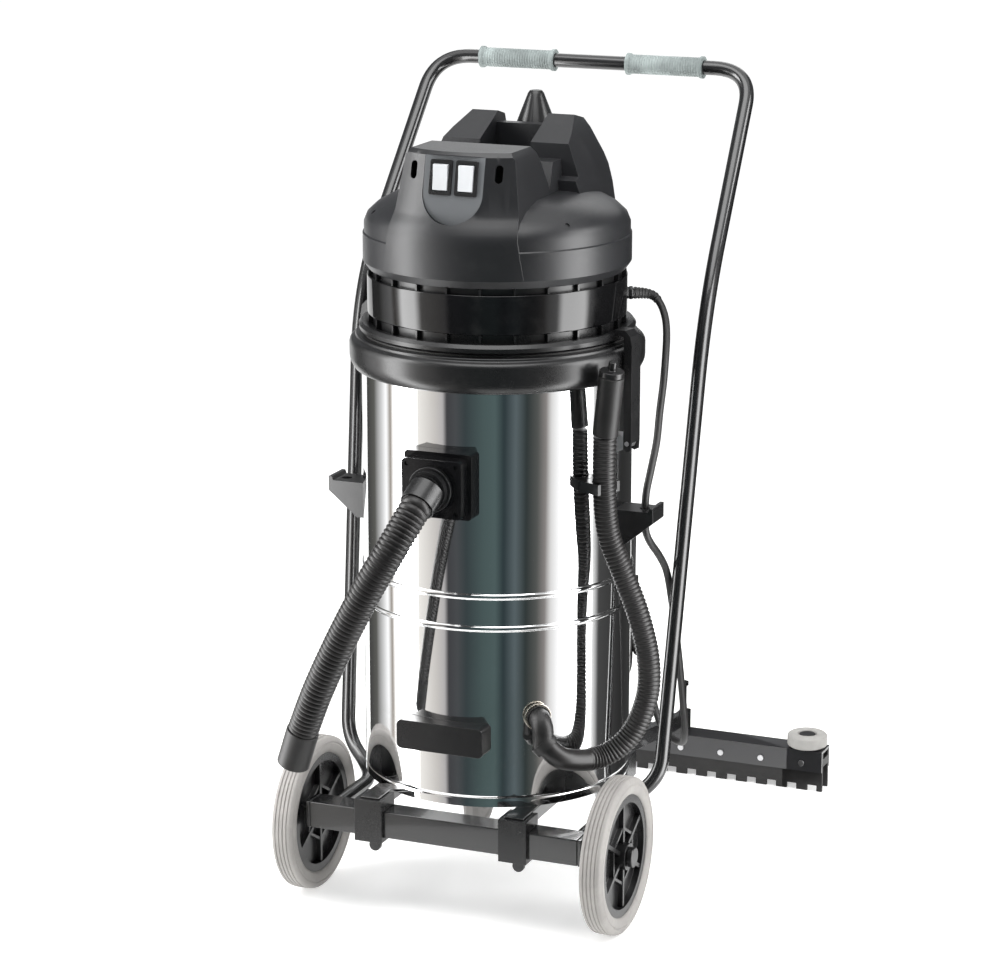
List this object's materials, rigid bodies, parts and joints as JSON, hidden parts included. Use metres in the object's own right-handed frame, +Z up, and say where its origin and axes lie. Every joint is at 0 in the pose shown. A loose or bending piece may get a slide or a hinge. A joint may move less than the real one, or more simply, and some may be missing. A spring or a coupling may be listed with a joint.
{
  "type": "wet and dry vacuum floor cleaner",
  "caption": "Upright steel-tank wet and dry floor cleaner on a wheeled trolley with push bar, suction hose, drain hose and a rear squeegee.",
  "frame": {"origin": "on the floor under the middle of the machine's box without its free hose and cable; the tank's axis is 175 mm in front of it", "axes": "+Z up, front towards -Y, +X to the right seen from the front camera"},
  "size_m": [0.702, 0.9626, 1.2245],
  "materials": {
    "polished_steel": "mirror-polished stainless steel",
    "ring_plastic": "black moulded plastic, satin",
    "cowl_plastic": "dark textured plastic, satin",
    "gloss_black_plastic": "glossy black plastic",
    "black_rubber": "black rubber",
    "hose_plastic": "black corrugated hose",
    "tyre_grey": "light grey non-marking tyre",
    "caster_grey": "grey caster tread",
    "roller_grey": "grey bumper roller",
    "black_paint": "gloss black enamel",
    "grip_grey": "grey-green grip sleeve",
    "panel_grey": "grey switch panel",
    "rocker_white": "white rocker",
    "zinc_steel": "zinc-plated steel",
    "motor_metal": "cast aluminium motor",
    "bar_grey": "dark grey painted bar",
    "drain_metal": "metal drain outlet",
    "cage_plastic": "pale moulded plastic",
    "filter_cloth": "pale filter cloth"
  },
  "bodies": {
    "trolley": {"tank_shell": "polished_steel", "tank_ring": "ring_plastic", "tank_gasket": "black_rubber", "inlet_box": "gloss_black_plastic", "inlet_port": "ring_plastic", "hose_connector": "ring_plastic", "suction_hose": "hose_plastic", "hose_cuff": "black_rubber", "front_grip": "ring_plastic", "side_hooks": "ring_plastic", "drain_outlet": "drain_metal", "drain_elbow": "black_rubber", "drain_hose": "hose_plastic", "drain_clip": "ring_plastic", "drain_cuff": "black_rubber", "cross_beam": "black_paint", "beam_caps": "ring_plastic", "axle_left": "black_paint", "axle_right": "black_paint", "rear_beam": "black_paint", "cradle_rails": "black_paint", "clamp_blocks": "ring_plastic", "wing_bolts": "ring_plastic", "handle_tube": "black_paint", "handle_grips": "grip_grey", "hub_caps": "ring_plastic", "latch_brackets": "zinc_steel", "mains_cable": "black_rubber", "cable_hank": "black_rubber", "hank_peg": "ring_plastic", "mains_plug": "black_rubber"},
    "wheel_left": {"tyre_left": "tyre_grey", "hub_left": "ring_plastic"},
    "wheel_right": {"tyre_right": "tyre_grey", "hub_right": "ring_plastic"},
    "caster_left": {"caster_fork_left": "zinc_steel"},
    "caster_right": {"caster_fork_right": "zinc_steel"},
    "caster_roll_left": {"caster_wheel_left": "caster_grey"},
    "caster_roll_right": {"caster_wheel_right": "caster_grey"},
    "latch_left": {"latch_left": "ring_plastic"},
    "latch_right": {"latch_right": "ring_plastic"},
    "head": {"head_pan": "ring_plastic", "motors": "motor_metal", "motor_seals": "black_rubber", "motor_band": "gloss_black_plastic", "cowl": "cowl_plastic", "switch_panel": "panel_grey", "cable_post": "black_rubber", "float_cage": "cage_plastic", "filter_sleeve": "filter_cloth"},
    "rocker_left": {"rocker_left": "rocker_white"},
    "rocker_right": {"rocker_right": "rocker_white"},
    "float": {"float_ball": "cage_plastic"},
    "squeegee": {"squeegee_arms": "black_paint", "squeegee_bar": "bar_grey", "squeegee_blades": "black_rubber", "squeegee_fixings": "zinc_steel"},
    "roller_left": {"bumper_rollers_left": "roller_grey"},
    "roller_right": {"bumper_rollers_right": "roller_grey"},
    "drain_plug": {"drain_plug": "ring_plastic"}
  },
  "joints": [
    {"name": "wheel_left_spin", "type": "hinge", "parent": "trolley", "child": "wheel_left", "pos_m": [-0.245, -0.31, 0.117], "axis": [1, 0, 0], "continuous": true},
    {"name": "caster_left_swivel", "type": "hinge", "parent": "trolley", "child": "caster_left", "pos_m": [-0.115, -0.003, 0.1], "axis": [0, 0, 1], "continuous": true},
    {"name": "caster_left_roll", "type": "hinge", "parent": "caster_left", "child": "caster_roll_left", "pos_m": [-0.115, 0.025, 0.04], "axis": [1, 0, 0], "continuous": true},
    {"name": "latch_left_swing", "type": "hinge", "parent": "trolley", "child": "latch_left", "pos_m": [-0.2242, -0.13949, 0.714], "axis": [-0.1564, -0.9877, 0], "range_deg": [0, 75]},
    {"name": "rocker_left_tilt", "type": "hinge", "parent": "head", "child": "rocker_left", "pos_m": [-0.0195, -0.33344, 1.10368], "axis": [1, 0, 0], "range_deg": [-12, 0]},
    {"name": "roller_left_spin", "type": "hinge", "parent": "squeegee", "child": "roller_left", "pos_m": [-0.318, 0.395, 0.08], "axis": [0, 0, 1], "continuous": true},
    {"name": "wheel_right_spin", "type": "hinge", "parent": "trolley", "child": "wheel_right", "pos_m": [0.245, -0.31, 0.117], "axis": [1, 0, 0], "continuous": true},
    {"name": "caster_right_swivel", "type": "hinge", "parent": "trolley", "child": "caster_right", "pos_m": [0.115, -0.003, 0.1], "axis": [0, 0, 1], "continuous": true},
    {"name": "caster_right_roll", "type": "hinge", "parent": "caster_right", "child": "caster_roll_right", "pos_m": [0.115, 0.025, 0.04], "axis": [1, 0, 0], "continuous": true},
    {"name": "latch_right_swing", "type": "hinge", "parent": "trolley", "child": "latch_right", "pos_m": [0.2242, -0.21051, 0.714], "axis": [0.1564, 0.9877, 0], "range_deg": [0, 75]},
    {"name": "rocker_right_tilt", "type": "hinge", "parent": "head", "child": "rocker_right", "pos_m": [0.0195, -0.33344, 1.10368], "axis": [1, 0, 0], "range_deg": [-12, 0]},
    {"name": "roller_right_spin", "type": "hinge", "parent": "squeegee", "child": "roller_right", "pos_m": [0.318, 0.395, 0.08], "axis": [0, 0, 1], "continuous": true},
    {"name": "head_lift", "type": "slide", "parent": "trolley", "child": "head", "axis": [0, 0, 1], "range_m": [0, 0.26]},
    {"name": "float_rise", "type": "slide", "parent": "head", "child": "float", "axis": [0, 0, 1], "range_m": [0, 0.018]},
    {"name": "squeegee_lift", "type": "hinge", "parent": "trolley", "child": "squeegee", "pos_m": [0, 0.039, 0.142], "axis": [1, 0, 0], "range_deg": [0, 40]},
    {"name": "drain_plug_pull", "type": "slide", "parent": "trolley", "child": "drain_plug", "axis": [0.1302, -0.0868, 0.9877], "range_m": [0, 0.05]}
  ]
}
